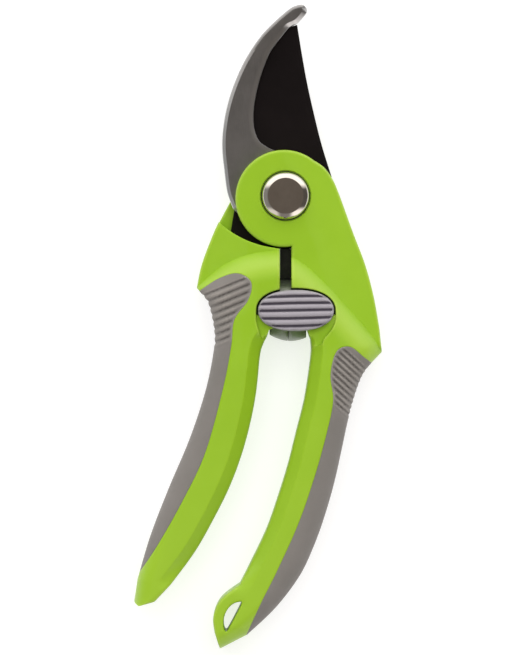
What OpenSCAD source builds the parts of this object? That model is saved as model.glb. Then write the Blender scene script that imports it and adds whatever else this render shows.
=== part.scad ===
// Bypass pruning shears, closed, lying on their back.
// Origin: on the pivot axis, at the plane that the shears rest on.
// +Y runs from the pivot to the blades' tips, +X to the right handle, +Z up to the front.

/* [Handles] */
// Thickness of the handles over the thumb button
handle_t = 25; // [24.5:0.5:30]
// Thickness of the handles at their tails
tail_t = 18; // [14:0.5:22]
// Distance from the pivot to the right handle's tip
handle_len = 142; // [118:1:170]
// Width of the slot between the closed handles
slot_w = 3.6; // [2.6:0.1:4.4]
// Radius of the moulded disc round the pivot
disc_r = 15.2; // [12.6:0.1:15.8]
// Thickness of the moulded disc
disc_t = 3.85; // [3:0.05:4.6]
// Thickness of the soft grip over its core
grip_skin = 2.5; // [1.5:0.1:3]
// Width of the slit that hangs the shears on a hook
loop_w = 4; // [3:0.1:4.2]

/* [Blades] */
// Distance from the pivot to the hook's tip
jaw_len = 60; // [50:1:72]
// Thickness of the hook
hook_t = 3.6; // [3:0.1:4.2]
// Thickness of the cutting blade
blade_t = 3; // [2.4:0.1:3.6]
// Gap between the hook and the cutting blade
blade_gap = 0.1; // [0.05:0.01:0.2]

/* [Pivot] */
// Radius of the bolt's shank
bolt_r = 4; // [3:0.1:4.4]
// Radius of the bolt's head
bolt_head_r = 7.4; // [6.4:0.1:8.8]
// Height of the dome on the bolt's head
bolt_dome_h = 2.3; // [1.5:0.1:3]
// Distance across the flats of the bolt's neck, as a share of its diameter
neck_flat_share = 0.82; // [0.75:0.01:0.95]
// Wall of the pivot bush
bush_wall = 1; // [0.8:0.1:1.5]
// Radial clearance of what turns on the bush
running_fit = 0.05; // [0.02:0.01:0.1]
// Thickness of the thin washer under the bolt's head
seal_t = 0.5; // [0.3:0.1:1]
// Thickness of the flat washer at the back
washer_t = 0.8; // [0.6:0.1:1.2]
// Thickness of the spring washer
spring_washer_t = 0.7; // [0.5:0.1:1]
// Height of the nut
nut_h = 4; // [3:0.1:5]
// Width of the nut across its flats
nut_af = 13; // [11:0.5:14]

/* [Spring] */
// Outside radius of the volute spring at its middle
spring_r = 9.6; // [8:0.1:9.8]
// Thickness of the spring strip
strip_t = 0.9; // [0.6:0.1:1.2]
// Turns in each half of the spring
spring_turns = 2.5; // [1.5:0.5:2.5]
// Distance from the pivot down to the spring's axis
spring_drop = 35.6; // [35:0.1:36.2]
// Radius of the flange on each spring cap
cap_flange_r = 6; // [5:0.1:8]
// Radius of the nose and of the stub on each spring cap
cap_nose_r = 2.6; // [2:0.1:3]

/* [Lock] */
// Width of the thumb button
button_w = 23.8; // [20:0.2:25]
// Height of the thumb button, along the handles
button_h = 13; // [11.6:0.2:14]
// Height that the thumb button stands above the handles
button_rise = 1.8; // [1:0.1:3]
// Travel of the thumb button
lock_travel = 3; // [2.5:0.1:4]
// Thickness of the sliding plate
plate_t = 1.3; // [1:0.1:1.6]
// Gap round what slides in the lock
lock_gap = 0.1; // [0.05:0.01:0.2]
// Gap round the thumb button
button_gap = 0.5; // [0.4:0.1:1]
// Radius of the lock pin
lock_pin_r = 1; // [0.8:0.1:1.2]
// Radius of the lock screw's shoulder
screw_r = 1; // [0.8:0.1:1.1]

/* [Stop] */
// Length of the rubber stop along the slot
stop_len = 9.1; // [6:0.1:9.1]
// Height of the rubber stop, across the handles' thickness
stop_h = 9; // [6:0.5:10]

/* [Hidden] */
$fn = 96;
eps = 0.01;
far = 300;

// Colours
green = "yellowgreen";
soft_grey = "dimgray";
button_grey = "darkgray";
steel = "silver";
black_coat = "#1c1a1b";
chrome = "lightgray";
rubber_black = "#222222";

// Heights, from the resting plane
mid_z = handle_t / 2;
hook_top_z = mid_z + hook_t;
front_z = hook_top_z + disc_t;
blade_top_z = mid_z - blade_gap;
blade_back_z = blade_top_z - blade_t;
back_z = blade_back_z - disc_t;
axial_play = 0.05;
back_washer_z = back_z - axial_play - washer_t;
spring_washer_z = back_washer_z - spring_washer_t;
nut_z = spring_washer_z - nut_h;
bush_r = bolt_r + bush_wall;
turning_r = bush_r + running_fit;

// Counterbore for the bolt's head and the washer under it
seat_drop = 0.3;
seat_z = front_z - seat_drop;
washer_r = bolt_head_r + 0.3;
counterbore_r = bolt_head_r + 0.5;

// Outline of the head, where the two discs cross
clear_r = disc_r + 1.4;
blade_disc_r = disc_r - 1;
blade_neck_r = disc_r + 1.2;
disc_side = 0.5;
disc_drop = 0.8;
crown_r = 30.4;
crown_y = 14;

// Spring pocket and its caps
pocket_r = spring_r + 0.4;
pocket_left = -6;
pocket_right = 7.5;
cap_flange_t = 1;
cap_nose_len = 2;
cap_stub_len = 2.2;
spring_left = pocket_left + cap_flange_t;
spring_right = pocket_right - cap_flange_t;
spring_mid = (spring_left + spring_right) / 2;
spring_inner_r = cap_nose_r + 1;

// Lock, from its floor upwards
floor_z = mid_z + pocket_r + 0.4;
plate_z = floor_z + lock_gap;
cap_z = plate_z + plate_t;
button_top_z = handle_t + button_rise;
button_x = 3.2;
button_y = -spring_drop - 0.3;
plate_inset = 0.5;
guide_x = 11;
guide_w = 4.4;
guide_len = 6.6;
guide_depth = 1.5;
guide_y = button_y;
screw_rest_y = guide_y - lock_travel / 2;
screw_head_r = 1.9;
screw_head_t = 0.8;
screw_wall = 0.8;
screw_low_z = hook_top_z + screw_wall;
pin_x = -6.5;
pin_y = -36;
pin_depth = 1.4;
pin_rise = 0.6;
groove_half = lock_pin_r + 0.2;

// Rubber stop
stop_x = 2.6;
stop_y = -25.7;
stop_z = mid_z - stop_h / 2 - 1;

// Outlines: control points chosen by hand, joined by a smooth curve
shoulder_y = -50;
right_outer = [
    [8.9, 11.2], [11.6, 9.4], [13.7, 7], [15.3, 4.2], [16.5, 1.3], [17.5, -1.3], [21.1, -11.3],
    [24.9, -21.3], [27.6, -31.3], [29.4, -41.4]
];
right_back = [
    [30.2, -48.9], [25.6, -53.9], [22.9, -59], [19.9, -69], [17.7, -79], [15.5, -89],
    [12.7, -99], [9.2, -109], [4.5, -119], [-3, -129], [-12, -137.6]
];
right_tip = [[-20.5, -142]];
right_loop = [[-22.2, -136.6], [-22.6, -131.6], [-20.2, -126.2], [-14.3, -121.6]];
right_inner = [
    [-10.5, -114], [-5.8, -104], [-2.3, -94], [0.8, -84], [3.3, -74], [5.8, -64],
    [7.4, -54], [8, -48.5], [7.8, -45]
];
left_outer = [
    [-8.9, 11.2], [-11.6, 9.4], [-13.7, 7], [-15.1, 4.2], [-16.2, 1.5], [-17, -0.8],
    [-19.9, -6.3], [-22.4, -11.3], [-26.2, -21.3], [-27.8, -28.8]
];
left_back = [
    [-25.8, -31.3], [-24.1, -34], [-22.4, -42], [-22.6, -49], [-25.2, -61.4], [-30.2, -76.4],
    [-36.6, -91.5], [-42.4, -106.5], [-46.4, -120]
];
left_tip = [[-47.5, -127.2], [-46, -128.4], [-41, -127]];
left_inner = [
    [-35.9, -121.6], [-28.4, -111.5], [-22.7, -101.5], [-17.7, -91.5], [-13.9, -81.5],
    [-11.1, -71.4], [-9.2, -61.4], [-8, -50], [-7, -46.4], [-5.8, -44]
];
right_grip_edge = [
    [30, -54.5], [24.5, -50.5], [20, -47.2], [15.8, -48.8], [14, -56], [14.8, -64],
    [13, -73.5], [9.3, -87], [4, -102.5], [-3, -118], [-8, -128], [-13, -139.5]
];
left_grip_edge = [
    [-30, -32], [-25, -28.4], [-20.5, -25.7], [-15, -24.3], [-10.8, -27], [-11.6, -32.5],
    [-16, -38.8], [-17, -47], [-19.5, -60], [-25, -80], [-32, -95], [-40.5, -110], [-48, -121]
];
hook_outer = [
    [-16.4, -4], [-18.3, 1.3], [-19.3, 8.8], [-19.9, 15], [-19.6, 21.3], [-18.2, 28.8],
    [-15.7, 36.3], [-12, 43.9], [-6.7, 51.4], [0.8, 58.4], [4, 60]
];
hook_tip = [[5.6, 60], [6.7, 58.8], [6.4, 57.2]];
hook_inner = [
    [3.8, 54.3], [1.2, 53], [-0.3, 51.3], [-2.9, 48], [-5.2, 44.5], [-8, 37], [-9.6, 30],
    [-10, 25], [-9.6, 20.5], [-8, 17], [-5, 15]
];
blade_edge = [
    [3.7, 54], [0.4, 52.7], [-3.6, 48.6], [-7, 43.6], [-10.2, 36.6], [-11.8, 30], [-12.4, 24],
    [-12.3, 18], [-12.6, 12], [-13.9, 6], [-15.2, 0], [-16.4, -6]
];
blade_back = [[14.5, 6.3], [11.4, 16.3], [8.9, 26.3], [6.7, 36.3], [4.9, 46.4]];
blade_tang = [
    [-18, -16], [-17.4, -26], [-16.6, -36], [-17.2, -50], [-20.5, -64], [-23.5, -74],
    [-21, -76], [-16.4, -64], [-12.8, -50], [-9.7, -40], [-8.8, -28], [-4.6, -18]
];
hook_tang = [
    [16.6, -6], [18, -16], [17.6, -26], [17.4, -36], [17.4, -50], [15, -64], [12.8, -74],
    [9.6, -76], [10.6, -64], [12.4, -50], [10.6, -40], [8.8, -28], [4.6, -18]
];

// Lengths below the shoulder and above the pivot follow the driving lengths
tail_k = (handle_len + shoulder_y) / (142 + shoulder_y);
function along(p) = p.y < shoulder_y ? [p.x, shoulder_y + (p.y - shoulder_y) * tail_k] : p;
jaw_k = (jaw_len - clear_r) / (60 - clear_r);
function jaw(p) = p.y > clear_r ? [p.x, clear_r + (p.y - clear_r) * jaw_k] : p;
function handle_pts(list) = [for (p = list) along(p)];
function jaw_pts(list) = [for (p = list) jaw(p)];

// A smooth curve through a list of points
curve_steps = 4;
function blend(a, b, c, d, t) =
    0.5 * (2 * b + (c - a) * t + (2 * a - 5 * b + 4 * c - d) * t * t + (3 * b - a - 3 * c + d) * t * t * t);
function smooth(p) = let (n = len(p)) concat(
    [
        for (i = [0 : n - 2]) for (s = [0 : curve_steps - 1])
            blend(p[max(i - 1, 0)], p[i], p[i + 1], p[min(i + 2, n - 1)], s / curve_steps)
    ],
    [p[n - 1]]
);

// An arc round the pivot
function arc(r, a_from, a_to, steps) =
    [for (i = [0 : steps]) let (a = a_from + (a_to - a_from) * i / steps) r * [cos(a), sin(a)]];

// Whole silhouettes of the two handles, with their grips
module right_outline() {
    polygon(concat(
        smooth(handle_pts(right_outer)), smooth(handle_pts(right_back)), handle_pts(right_tip),
        smooth(handle_pts(right_loop)), smooth(handle_pts(right_inner)),
        [[6.8, -42], [slot_w / 2, -40.5], [slot_w / 2, right_outer[0].y]]
    ));
}

module left_outline() {
    polygon(concat(
        smooth(handle_pts(left_outer)), smooth(handle_pts(left_back)), handle_pts(left_tip),
        smooth(handle_pts(left_inner)),
        [[-5.2, -42], [-slot_w / 2, -40.5], [-slot_w / 2, left_outer[0].y]]
    ));
}

// The parts of the silhouettes that the soft grips take
module right_grip_area() {
    intersection() {
        right_outline();
        polygon(concat(smooth(handle_pts(right_grip_edge)), [[far, -far], [far, -54.5]]));
    }
}

module left_grip_area() {
    intersection() {
        left_outline();
        polygon(concat(smooth(handle_pts(left_grip_edge)), [[-far, -far], [-far, -32]]));
    }
}

// The core that reaches in under a grip
module right_core_area() {
    intersection() {
        right_grip_area();
        offset(delta = -grip_skin) right_outline();
    }
}

module left_core_area() {
    intersection() {
        left_grip_area();
        offset(delta = -grip_skin) left_outline();
    }
}

// Side view of the handles, as a cutter across their whole width
module side_profile(inset) {
    head_up = front_z - mid_z - inset;
    body_up = mid_z - inset;
    tail_up = tail_t / 2 - inset;
    ends = along([0, -145]);
    up = [[30, head_up], [-16, head_up], [-23, body_up], [-54, body_up], [ends.y, tail_up]];
    down = [for (i = [len(up) - 1 : -1 : 0]) [up[i].x, -up[i].y]];
    translate([-far / 2, 0, mid_z]) rotate([90, 0, 90])
        linear_extrude(far) polygon(concat(up, down));
}

// What the other handle's disc needs clear of this handle's body
module head_clearance() {
    circle(clear_r);
    translate([0, crown_y]) circle(crown_r);
}

module disc_area(side) {
    translate([-side * disc_side, -disc_drop]) circle(disc_r);
}

module oval(w, h) {
    polygon([for (a = [0 : 5 : 355]) [
        w / 2 * sign(cos(a)) * pow(abs(cos(a)), 0.9),
        h / 2 * sign(sin(a)) * pow(abs(sin(a)), 0.9)
    ]]);
}

module neck_area() {
    intersection() {
        circle(bolt_r);
        square([far, 2 * bolt_r * neck_flat_share], center = true);
    }
}

// Grey hook with its tang
module hook_area() {
    polygon(concat(
        smooth(jaw_pts(hook_outer)), smooth(jaw_pts(hook_tip)), smooth(jaw_pts(hook_inner)),
        arc(blade_disc_r, 100, 0, 10), smooth(handle_pts(hook_tang)),
        arc(blade_disc_r, -90, -140, 5)
    ));
}

module hook_blade() {
    color(steel) difference() {
        translate([0, 0, mid_z]) linear_extrude(hook_t) hook_area();
        translate([0, 0, mid_z - 1]) linear_extrude(hook_t + 2) neck_area();
    }
}

// Black cutting blade with its tang
module blade_area() {
    polygon(concat(
        smooth(jaw_pts(blade_edge)), smooth(handle_pts(blade_tang)),
        arc(blade_neck_r, -100, -76, 4), arc(blade_disc_r, -70, 0, 7), smooth(jaw_pts(blade_back))
    ));
}

module cutting_blade() {
    color(black_coat) difference() {
        translate([0, 0, blade_back_z]) linear_extrude(blade_t) blade_area();
        translate([0, 0, -eps]) cylinder(h = handle_t, r = turning_r);
    }
}

// Cuts that both handles share
module spring_pocket() {
    translate([pocket_left, -spring_drop, mid_z]) rotate([0, 90, 0])
        cylinder(h = pocket_right - pocket_left, r = pocket_r);
}

module button_recess() {
    translate([button_x, button_y, floor_z]) linear_extrude(far) hull()
        for (dy = [0, -lock_travel]) translate([0, dy])
            oval(button_w + 2 * button_gap, button_h + 2 * button_gap);
}

module right_tongue() {
    intersection() {
        linear_extrude(handle_t) right_core_area();
        side_profile(grip_skin);
    }
}

module left_tongue() {
    intersection() {
        linear_extrude(handle_t) left_core_area();
        side_profile(grip_skin);
    }
}

// Slanted slit at the right handle's tail
module hanging_slit() {
    low = along([-17.9, -134]);
    high = along([-15.4, -129.3]);
    slit_r = loop_w / 2;
    translate([0, 0, -eps]) linear_extrude(far) hull() {
        translate(low) circle(slit_r * 0.6);
        translate(high) circle(slit_r);
    }
}

// Green core of the right handle, with the disc in front of the hook
module right_handle() {
    color(green) difference() {
        union() {
            intersection() {
                linear_extrude(handle_t) difference() {
                    right_outline();
                    right_grip_area();
                    mirror([1, 0]) head_clearance();
                }
                side_profile(0);
            }
            right_tongue();
            translate([0, 0, hook_top_z]) linear_extrude(disc_t) {
                disc_area(1);
                intersection() {
                    right_outline();
                    translate([0, -25]) square([far, far]);
                }
            }
        }
        translate([0, 0, mid_z]) linear_extrude(hook_t) hook_area();
        spring_pocket();
        button_recess();
        hanging_slit();
        cylinder(h = far, r = bolt_r);
        translate([0, 0, seat_z - seal_t]) cylinder(h = far, r = counterbore_r);
        translate([pocket_right - eps, -spring_drop, mid_z]) rotate([0, 90, 0])
            cylinder(h = cap_stub_len + eps, r = cap_nose_r);
        translate([slot_w / 2 - 1, stop_y, stop_z])
            cube([stop_x - slot_w / 2 + 1, stop_len, stop_h]);
        translate([
            guide_x - guide_w / 2 - lock_gap, guide_y - guide_len / 2 - lock_travel - lock_gap,
            floor_z - guide_depth - lock_gap
        ]) cube([guide_w + 2 * lock_gap, guide_len + lock_travel + 2 * lock_gap, guide_depth + 1]);
        translate([guide_x, screw_rest_y, screw_low_z])
            cylinder(h = cap_z - screw_low_z, r = screw_r, $fn = 48);
    }
}

// Green core of the left handle, with the disc behind the cutting blade
module left_handle() {
    color(green) difference() {
        union() {
            intersection() {
                linear_extrude(handle_t) difference() {
                    left_outline();
                    left_grip_area();
                    head_clearance();
                }
                side_profile(0);
            }
            left_tongue();
            translate([0, 0, back_z]) linear_extrude(disc_t) {
                disc_area(-1);
                intersection() {
                    left_outline();
                    translate([-far, -25]) square([far, far]);
                }
            }
        }
        translate([0, 0, blade_back_z]) linear_extrude(blade_t) blade_area();
        spring_pocket();
        button_recess();
        lock_groove();
        cylinder(h = far, r = turning_r);
        translate([pocket_left - cap_stub_len, -spring_drop, mid_z]) rotate([0, 90, 0])
            cylinder(h = cap_stub_len + eps, r = cap_nose_r);
    }
}

// L-shaped groove: the pin leaves to the right along an arc, and drops to lock
module lock_groove() {
    arc_r = norm([pin_x, pin_y]);
    start_a = atan2(pin_y, pin_x) + 360;
    translate([0, 0, floor_z - pin_depth - lock_gap]) linear_extrude(pin_depth + 1) {
        hull() {
            translate([pin_x, pin_y]) circle(groove_half, $fn = 48);
            translate([pin_x, pin_y - lock_travel]) circle(groove_half, $fn = 48);
        }
        intersection() {
            difference() {
                circle(arc_r + groove_half);
                circle(arc_r - groove_half);
            }
            polygon([for (a = [start_a : 2 : start_a + 16]) 2 * arc_r * [cos(a), sin(a)], [0, 0]]);
        }
    }
}

// Soft grips with ribs across their tops
module ribs(at, angle, pitch, count, len) {
    groove_w = 0.8;
    groove_d = 0.7;
    for (i = [0 : count - 1]) for (z = [0, handle_t - groove_d])
        translate([at.x, at.y - i * pitch, z]) rotate([0, 0, angle])
            translate([-len / 2, -groove_w / 2, 0]) cube([len, groove_w, groove_d]);
}

module right_grip() {
    color(soft_grey) difference() {
        intersection() {
            linear_extrude(handle_t) right_grip_area();
            side_profile(0);
        }
        right_tongue();
        ribs([20, -50], -42, 2.2, 5, 30);
    }
}

module left_grip() {
    color(soft_grey) difference() {
        intersection() {
            linear_extrude(handle_t) left_grip_area();
            side_profile(0);
        }
        left_tongue();
        ribs([-17, -27.5], 22, 2.3, 7, 30);
    }
}

// Domed bolt with flats under its head
module pivot_bolt() {
    rim_h = 1;
    dome_r = (bolt_head_r * bolt_head_r + bolt_dome_h * bolt_dome_h) / (2 * bolt_dome_h);
    color(chrome) union() {
        translate([0, 0, nut_z]) cylinder(h = mid_z - nut_z, r = bolt_r);
        translate([0, 0, mid_z]) linear_extrude(hook_t) neck_area();
        translate([0, 0, hook_top_z]) cylinder(h = seat_z - hook_top_z, r = bolt_r);
        translate([0, 0, seat_z]) cylinder(h = rim_h, r = bolt_head_r);
        intersection() {
            translate([0, 0, seat_z + rim_h + bolt_dome_h - dome_r]) sphere(dome_r);
            translate([0, 0, seat_z + rim_h]) cylinder(h = bolt_dome_h + 1, r = bolt_head_r);
        }
    }
}

module ring(z, h, r_out, r_in) {
    translate([0, 0, z]) difference() {
        cylinder(h = h, r = r_out);
        translate([0, 0, -1]) cylinder(h = h + 2, r = r_in);
    }
}

module pivot_bush() {
    color(steel) ring(back_z - axial_play, mid_z - back_z + axial_play, bush_r, bolt_r);
}

module bolt_washer() {
    color(rubber_black) ring(seat_z - seal_t, seal_t, washer_r, bolt_r);
}

module back_washer() {
    color(steel) ring(back_washer_z, washer_t, nut_af / 2 + 2, bolt_r);
}

module spring_washer() {
    slit_w = 1;
    color(steel) difference() {
        ring(spring_washer_z, spring_washer_t, nut_af / 2 + 0.5, bolt_r);
        rotate([0, 0, 30]) translate([0, -slit_w / 2, spring_washer_z - 1])
            cube([far, slit_w, spring_washer_t + 2]);
    }
}

module pivot_nut() {
    color(chrome) difference() {
        translate([0, 0, nut_z]) cylinder(h = nut_h, r = nut_af / 2 / cos(30), $fn = 6);
        translate([0, 0, nut_z - 1]) cylinder(h = nut_h + 2, r = bolt_r);
    }
}

// Double volute spring: one strip, wound from each end's small coil to the wide middle
module volute_spring() {
    rings = 20 * spring_turns * 2;
    wide = 0.5 / spring_turns;
    cross = 0.3 / spring_turns;
    strip_gap = 0.2;
    half_w = (spring_right - spring_left - strip_gap) / 4;
    function coil_r(t) =
        spring_r - (spring_r - spring_inner_r) * pow(max(abs(t) - wide, 0) / (1 - wide), 0.75);
    function coil_x(t) = spring_mid + sign(t) * min(abs(t) / cross, 1) * (half_w + strip_gap / 2);
    function strip_ring(t) = let (a = 360 * spring_turns * t, r = coil_r(t), x = coil_x(t)) [
        for (c = [[-half_w, 0], [half_w, 0], [half_w, -strip_t], [-half_w, -strip_t]])
            [x + c.x, -spring_drop + (r + c.y) * cos(a), mid_z - (r + c.y) * sin(a)]
    ];
    points = [for (i = [0 : rings]) each strip_ring(2 * i / rings - 1)];
    faces = concat(
        [[0, 1, 2, 3]],
        [for (i = [0 : rings - 1]) for (k = [0 : 3]) let (a = 4 * i, n = (k + 1) % 4)
            [a + k, a + 4 + k, a + 4 + n, a + n]],
        [[for (k = [3 : -1 : 0]) 4 * rings + k]]
    );
    color(steel) polyhedron(points, faces);
}

// Seats of the spring's ends: flange, nose in the spring and stub in the handle
module spring_cap() {
    rotate([0, 90, 0]) {
        translate([0, 0, -cap_stub_len]) cylinder(h = cap_stub_len, r = cap_nose_r);
        cylinder(h = cap_flange_t, r = cap_flange_r);
        cylinder(h = cap_flange_t + cap_nose_len, r = cap_nose_r);
    }
}

module left_spring_cap() {
    color(rubber_black) translate([pocket_left, -spring_drop, mid_z]) spring_cap();
}

module right_spring_cap() {
    color(rubber_black) translate([pocket_right, -spring_drop, mid_z]) mirror([1, 0, 0]) spring_cap();
}

// Rubber block in the slot, which stops the closing handles
module stop_bumper() {
    stop_gap = 0.1;
    color(rubber_black) translate([-slot_w / 2 + stop_gap, stop_y, stop_z])
        cube([stop_x + slot_w / 2 - stop_gap, stop_len, stop_h]);
}

// Thumb button, with ridges across it and room for the screw's head inside
module lock_button() {
    ridge_pitch = 2.1;
    ridge_d = 0.8;
    groove_w = 0.8;
    color(button_grey) difference() {
        union() {
            translate([button_x, button_y, cap_z]) linear_extrude(button_top_z - cap_z - ridge_d)
                oval(button_w, button_h);
            translate([button_x, button_y, button_top_z - ridge_d - eps]) linear_extrude(ridge_d + eps)
                oval(button_w - 2, button_h - 2);
        }
        for (i = [-2 : 2])
            translate([button_x - button_w / 2, button_y + i * ridge_pitch - groove_w / 2, button_top_z - ridge_d])
                cube([button_w, groove_w, ridge_d + 1]);
        translate([guide_x, guide_y, cap_z - 1]) linear_extrude(screw_head_t + lock_gap + 1.2) hull() {
            translate([0, -lock_travel / 2]) circle(screw_head_r + 0.2, $fn = 48);
            translate([0, lock_travel / 2]) circle(screw_head_r + 0.2, $fn = 48);
        }
        translate([pin_x, pin_y, cap_z - 1]) cylinder(h = 1 + pin_rise, r = lock_pin_r, $fn = 48);
    }
}

// Sliding plate with a guide key below it and a slot for the screw
module lock_slider() {
    slot_r = screw_r + 0.1;
    color(steel) difference() {
        union() {
            translate([button_x, button_y, plate_z]) linear_extrude(plate_t)
                oval(button_w - 2 * plate_inset, button_h - 2 * plate_inset);
            translate([guide_x - guide_w / 2, guide_y - guide_len / 2, plate_z - guide_depth])
                cube([guide_w, guide_len, guide_depth + plate_t]);
        }
        translate([0, 0, floor_z - guide_depth - 1]) linear_extrude(far) hull() {
            translate([guide_x, guide_y - lock_travel / 2]) circle(slot_r, $fn = 48);
            translate([guide_x, guide_y + lock_travel / 2]) circle(slot_r, $fn = 48);
        }
        translate([pin_x, pin_y, plate_z - 1]) cylinder(h = plate_t + 2, r = lock_pin_r, $fn = 48);
    }
}

module lock_pin() {
    color(steel) translate([pin_x, pin_y, floor_z - pin_depth])
        cylinder(h = cap_z + pin_rise - floor_z + pin_depth, r = lock_pin_r, $fn = 48);
}

module lock_screw() {
    color(chrome) {
        translate([guide_x, screw_rest_y, screw_low_z])
            cylinder(h = cap_z + lock_gap - screw_low_z, r = screw_r, $fn = 48);
        translate([guide_x, screw_rest_y, cap_z + lock_gap])
            cylinder(h = screw_head_t, r = screw_head_r, $fn = 48);
    }
}

hook_blade();
cutting_blade();
right_handle();
left_handle();
right_grip();
left_grip();
pivot_bolt();
pivot_bush();
bolt_washer();
back_washer();
spring_washer();
pivot_nut();
volute_spring();
left_spring_cap();
right_spring_cap();
stop_bumper();
lock_button();
lock_slider();
lock_pin();
lock_screw();
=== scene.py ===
"""Looks for the bypass pruning shears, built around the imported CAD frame.

Shapes are worked out in millimetres, with the frame's own origin and axes, and become metres in put()."""

import math

import bpy
import numpy as np
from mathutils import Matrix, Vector, geometry, kdtree


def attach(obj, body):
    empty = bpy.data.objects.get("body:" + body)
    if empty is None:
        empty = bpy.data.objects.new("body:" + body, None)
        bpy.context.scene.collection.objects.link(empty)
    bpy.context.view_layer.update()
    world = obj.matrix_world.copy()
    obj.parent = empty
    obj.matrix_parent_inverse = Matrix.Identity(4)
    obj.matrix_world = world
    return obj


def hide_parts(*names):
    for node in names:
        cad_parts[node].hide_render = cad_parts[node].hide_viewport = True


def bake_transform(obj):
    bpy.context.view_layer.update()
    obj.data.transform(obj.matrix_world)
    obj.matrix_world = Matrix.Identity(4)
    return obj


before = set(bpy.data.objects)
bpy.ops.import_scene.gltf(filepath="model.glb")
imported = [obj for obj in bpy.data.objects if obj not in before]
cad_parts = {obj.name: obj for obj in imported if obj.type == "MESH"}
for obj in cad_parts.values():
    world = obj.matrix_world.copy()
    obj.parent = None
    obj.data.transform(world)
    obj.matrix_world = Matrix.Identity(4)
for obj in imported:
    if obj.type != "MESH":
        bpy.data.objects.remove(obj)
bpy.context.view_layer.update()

# ---------------------------------------------------------------- sizes, in millimetres
HANDLE_T, TAIL_T = 25.0, 18.0
MID = HANDLE_T / 2
HOOK_BACK, HOOK_FRONT = 12.5, 16.1
BLADE_BACK, BLADE_FRONT = 9.4, 12.4
FRONT_PLATE, BACK_PLATE = 19.95, 5.55
SLOT = 1.8
DISC_R, DISC_SIDE, DISC_DROP = 15.2, 0.5, 0.8
CLEAR_R, CROWN_R, CROWN_Y = 16.6, 30.4, 14.0
BLADE_DISC_R, BLADE_NECK_R = 14.2, 16.55
FLOOR_Z, GAP_Z = 22.9, 21.3
SPRING_Y, POCKET_R, POCKET_LEFT, POCKET_RIGHT = -35.6, 10.0, -6.0, 7.5
DISC_SWEEP = 218
EDGE_R = 0.9
RISE_W, RISE_POWER = 8.5, 1.95
BEVEL_W, BEVEL_H, BEVEL_SOFT = 3.7, 3.1, 0.25
GRIP_W, GRIP_NARROWS, GRIP_H = 7.8, 2.6, 6.8
RIB_DEPTH, RIB_NICK = 0.85, 0.42
SEAM_W, SEAM_DEPTH = 0.35, 0.16
RIM = 0.45
BUTTON_X, BUTTON_Y, BUTTON_W, BUTTON_H, BUTTON_GAP = 3.2, -35.9, 23.8, 13.0, 0.5
BUTTON_LOW, BUTTON_HIGH = 24.3, 26.8
BOLT_R, HEAD_R, BORE_R, SEAT_Z, RIM_H, DOME_H = 4.0, 7.4, 7.9, 19.65, 1.0, 2.3
NUT_FLAT, NUT_H = 6.5, 4.0
SPRING_LEFT, SPRING_RIGHT, SPRING_R, SPRING_IN, STRIP_T, SPRING_TURNS = -5.0, 6.5, 9.85, 3.6, 0.9, 2.5

# ---------------------------------------------------------------- outlines, drawn point by point
RIGHT_SHOULDER = [[8.9, 11.2], [11.6, 9.4], [13.7, 7.0], [15.3, 4.2], [16.5, 1.3], [17.5, -1.3],
                  [21.1, -11.3], [24.9, -21.3], [27.6, -31.3], [29.4, -41.4]]
RIGHT_BACK = [[30.2, -48.9], [25.6, -53.9], [22.9, -59], [19.9, -69], [17.7, -79], [15.5, -89],
              [12.7, -99], [9.2, -109], [4.5, -119], [-3, -129], [-12, -137.6]]
RIGHT_TIP = [[-12, -137.6], [-20.5, -142], [-22.2, -136.6]]
RIGHT_LOOP = [[-22.2, -136.6], [-22.6, -131.6], [-20.2, -126.2], [-14.3, -121.6]]
RIGHT_INNER = [[-14.3, -121.6], [-10.5, -114], [-5.8, -104], [-2.3, -94], [0.8, -84], [3.3, -74],
               [5.8, -64], [7.4, -54], [8, -48.5], [7.8, -45]]
RIGHT_CROTCH = [[7.8, -45], [6.8, -42], [1.8, -40.5]]
LEFT_SHOULDER = [[-8.9, 11.2], [-11.6, 9.4], [-13.7, 7.0], [-15.1, 4.2], [-16.2, 1.5], [-17, -0.8],
                 [-19.9, -6.3], [-22.4, -11.3], [-26.2, -21.3], [-27.8, -28.8]]
LEFT_BACK = [[-27.8, -28.8], [-25.8, -31.3], [-24.1, -34], [-22.4, -42], [-22.6, -49],
             [-25.2, -61.4], [-30.2, -76.4], [-36.6, -91.5], [-42.4, -106.5], [-46.4, -120]]
LEFT_TIP = [[-46.4, -120], [-47.5, -127.2], [-46, -128.4], [-41, -127], [-35.9, -121.6]]
LEFT_INNER = [[-35.9, -121.6], [-28.4, -111.5], [-22.7, -101.5], [-17.7, -91.5], [-13.9, -81.5],
              [-11.1, -71.4], [-9.2, -61.4], [-8, -50], [-7, -46.4], [-5.8, -44]]
LEFT_CROTCH = [[-5.8, -44], [-5.2, -42], [-1.8, -40.5]]
RIGHT_SEAM = [[34, -57.5], [30, -54.5], [24.5, -50.5], [20, -47.2], [15.8, -48.8], [14, -56],
              [14.8, -64], [13, -73.5], [9.3, -87], [4, -102.5], [-3, -118], [-8, -128],
              [-13, -139.5], [-14, -145]]
LEFT_SEAM = [[-34, -35], [-30, -32], [-25, -28.4], [-20.5, -25.7], [-15, -24.3], [-10.8, -27],
             [-11.6, -32.5], [-16, -38.8], [-17, -47], [-19.5, -60], [-25, -80], [-32, -95],
             [-40.5, -110], [-48, -121], [-52, -127]]
RIGHT_CREASE = [[34, -51.5], [30.2, -48.9], [28, -45], [24, -40], [19, -34.5], [15, -30], [10, -25],
                [6, -21.5], [1.8, -19], [-4, -16.8]]
LEFT_CREASE = [[4, -16.8], [-1.8, -17], [-5, -17.3], [-10, -18], [-15, -19.5], [-20, -22],
               [-25, -26], [-27.8, -28.8], [-32, -32.5]]
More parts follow.
